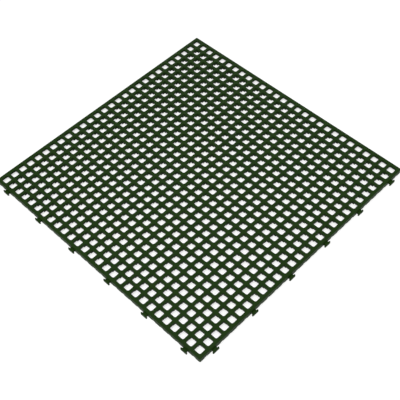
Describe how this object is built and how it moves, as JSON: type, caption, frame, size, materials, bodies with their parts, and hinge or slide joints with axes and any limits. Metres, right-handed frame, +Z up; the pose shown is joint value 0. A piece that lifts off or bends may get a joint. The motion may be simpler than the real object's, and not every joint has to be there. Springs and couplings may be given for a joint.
{
  "type": "plastic interlocking floor tile",
  "caption": "Green plastic floor tile with a square open grid, drain arches and T hooks that lock it to the next tile.",
  "frame": {"origin": "middle of the tile's square body at floor level", "axes": "+Z up through the tread face; hooks point along -X and -Y, slots face +X and +Y"},
  "size_m": [0.5608, 0.5608, 0.011],
  "materials": {
    "tile_plastic": "dark green, faint gloss"
  },
  "bodies": {
    "root": {"grid_quarter_hooked": "tile_plastic", "grid_quarter_left": "tile_plastic", "grid_quarter_right": "tile_plastic", "grid_quarter_slotted": "tile_plastic"}
  },
  "joints": []
}
